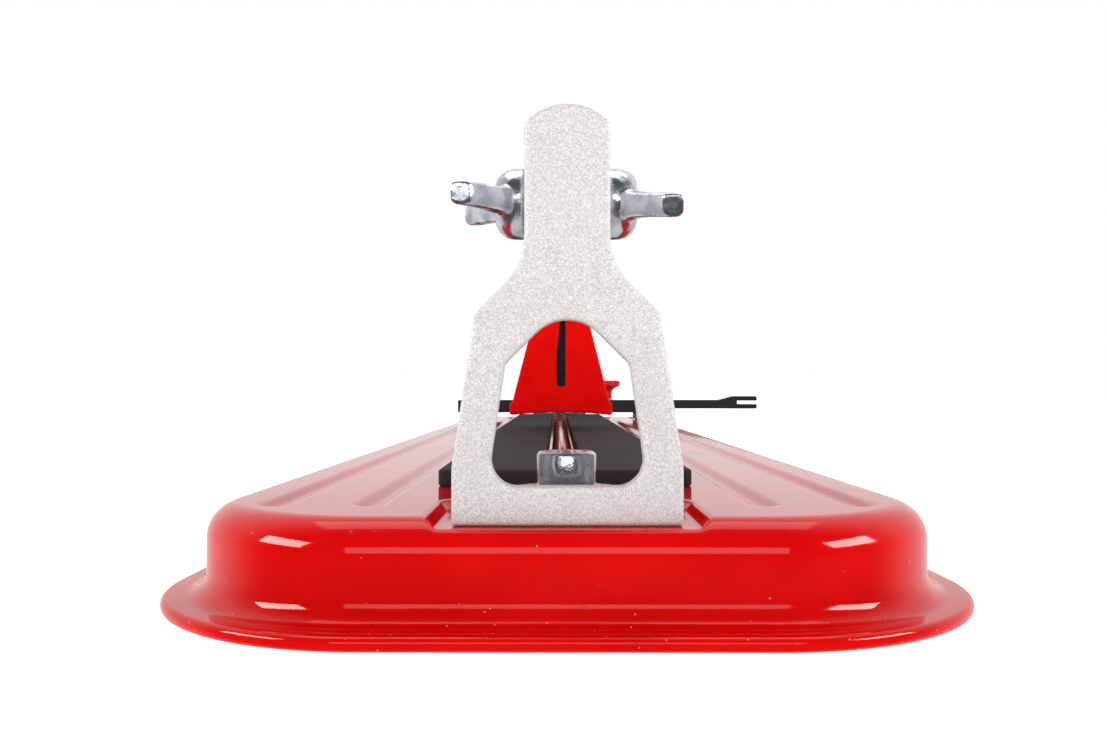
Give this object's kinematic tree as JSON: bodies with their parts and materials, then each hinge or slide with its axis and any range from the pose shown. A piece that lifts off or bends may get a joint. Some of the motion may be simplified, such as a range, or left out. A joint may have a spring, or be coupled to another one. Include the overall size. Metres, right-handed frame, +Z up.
{
  "type": "tile cutter",
  "caption": "Manual tile cutter with a pressed base, cast end brackets, one height-adjustable rail, rolling carriage with wheel and breaker foot, and a sliding side fence.",
  "frame": {"origin": "middle of the centre foot, on the bench", "axes": "+Z up, +Y along the rail from the user's end to the fence end, +X to the right"},
  "size_m": [0.263, 0.72, 0.1363],
  "materials": {
    "red_enamel": "high-gloss enamel",
    "red_cast": "satin powder coat",
    "cast_aluminium": "fine sand-textured silver-grey coat",
    "zinc": "bright zinc plate",
    "bright_steel": "ground steel",
    "galvanised": "galvanised sheet",
    "machined_aluminium": "machined",
    "black_foam": "closed-cell foam sheet",
    "black_rubber": "moulded",
    "grip_rubber": "soft grip",
    "black_anodised": "black anodised",
    "black_steel": "black coated",
    "red_plastic": "moulded",
    "white_nylon": "turned nylon",
    "chromed_tube": "polished chrome",
    "carbide": "ground carbide"
  },
  "bodies": {
    "base": {"base_pan": "red_enamel", "breaking_ridge": "red_enamel", "left_pad": "black_foam", "right_pad": "black_foam", "centre_beam": "galvanised", "rubber_feet": "black_rubber", "front_bracket": "cast_aluminium", "rear_bracket": "cast_aluminium", "bracket_screws": "zinc", "bracket_washers": "zinc", "bracket_nuts": "zinc", "fence_bar": "black_anodised", "fence_screws": "zinc", "fence_spacers": "zinc", "fence_nuts": "zinc"},
    "rail": {"guide_rail": "bright_steel", "front_end_block": "machined_aluminium", "rear_end_block": "machined_aluminium", "end_screws": "zinc", "rail_stops": "black_rubber"},
    "carriage": {"left_cheek": "black_steel", "right_cheek": "black_steel", "roller_axles": "zinc", "pivot_pin": "bright_steel", "pivot_clips": "zinc"},
    "lever": {"lever_fork": "red_cast", "breaker_foot": "red_cast", "slot_strip": "black_steel", "foot_screws": "zinc", "wheel_holder": "black_steel", "holder_screws": "zinc", "wheel_axle": "bright_steel", "lever_tube": "chromed_tube", "grip": "grip_rubber", "grip_cap": "red_plastic", "lever_bumper": "black_rubber"},
    "cutting_wheel": {"cutting_wheel": "carbide"},
    "measuring_arm": {"measuring_arm": "black_anodised"},
    "clamp_knob": {"clamp_knob": "red_plastic", "knob_stud": "zinc", "knob_washer": "zinc"},
    "front_left_wing_screw": {"front_left_wing_screw": "zinc"},
    "front_right_wing_screw": {"front_right_wing_screw": "zinc"},
    "rear_left_wing_screw": {"rear_left_wing_screw": "zinc"},
    "rear_right_wing_screw": {"rear_right_wing_screw": "zinc"},
    "upper_front_roller": {"upper_front_roller": "white_nylon"},
    "upper_rear_roller": {"upper_rear_roller": "white_nylon"},
    "lower_front_roller": {"lower_front_roller": "white_nylon"},
    "lower_rear_roller": {"lower_rear_roller": "white_nylon"}
  },
  "joints": [
    {"name": "rail_height", "type": "slide", "parent": "base", "child": "rail", "axis": [0, 0, 1], "range_m": [0, 0.01]},
    {"name": "carriage_slide", "type": "slide", "parent": "rail", "child": "carriage", "axis": [0, 1, 0], "range_m": [-0.24, 0.24]},
    {"name": "lever_swing", "type": "hinge", "parent": "carriage", "child": "lever", "pos_m": [0, -0.014, 0.067], "axis": [-1, 0, 0], "range_deg": [0, 12]},
    {"name": "wheel_spin", "type": "hinge", "parent": "lever", "child": "cutting_wheel", "pos_m": [0, 0.021, 0.049], "axis": [1, 0, 0], "continuous": true},
    {"name": "arm_slide", "type": "slide", "parent": "base", "child": "measuring_arm", "axis": [1, 0, 0], "range_m": [-0.028, 0.05]},
    {"name": "knob_turn", "type": "hinge", "parent": "base", "child": "clamp_knob", "pos_m": [0.036, 0.291, 0.045], "axis": [0, 0, 1], "range_deg": [0, 270]},
    {"name": "front_left_wing_turn", "type": "hinge", "parent": "rail", "child": "front_left_wing_screw", "pos_m": [-0.0165, -0.324, 0.0897], "axis": [-1, 0, 0], "range_deg": [0, 270]},
    {"name": "front_right_wing_turn", "type": "hinge", "parent": "rail", "child": "front_right_wing_screw", "pos_m": [0.0165, -0.324, 0.0897], "axis": [1, 0, 0], "range_deg": [0, 270]},
    {"name": "rear_left_wing_turn", "type": "hinge", "parent": "rail", "child": "rear_left_wing_screw", "pos_m": [-0.0165, 0.324, 0.0897], "axis": [-1, 0, 0], "range_deg": [0, 270]},
    {"name": "rear_right_wing_turn", "type": "hinge", "parent": "rail", "child": "rear_right_wing_screw", "pos_m": [0.0165, 0.324, 0.0897], "axis": [1, 0, 0], "range_deg": [0, 270]},
    {"name": "upper_front_roller_roll", "type": "hinge", "parent": "carriage", "child": "upper_front_roller", "pos_m": [0, 0.004, 0.1103], "axis": [1, 0, 0], "range_deg": [-2400, 2400]},
    {"name": "upper_rear_roller_roll", "type": "hinge", "parent": "carriage", "child": "upper_rear_roller", "pos_m": [0, 0.038, 0.1103], "axis": [1, 0, 0], "range_deg": [-2400, 2400]},
    {"name": "lower_front_roller_roll", "type": "hinge", "parent": "carriage", "child": "lower_front_roller", "pos_m": [0, 0.004, 0.0837], "axis": [1, 0, 0], "range_deg": [-2400, 2400]},
    {"name": "lower_rear_roller_roll", "type": "hinge", "parent": "carriage", "child": "lower_rear_roller", "pos_m": [0, 0.038, 0.0837], "axis": [1, 0, 0], "range_deg": [-2400, 2400]}
  ],
  "couplings": [
    {"joint": "upper_front_roller_roll", "follows": "carriage_slide", "rad_per_m": -166.67},
    {"joint": "upper_rear_roller_roll", "follows": "carriage_slide", "rad_per_m": -166.67},
    {"joint": "lower_front_roller_roll", "follows": "carriage_slide", "rad_per_m": 166.67},
    {"joint": "lower_rear_roller_roll", "follows": "carriage_slide", "rad_per_m": 166.67}
  ]
}
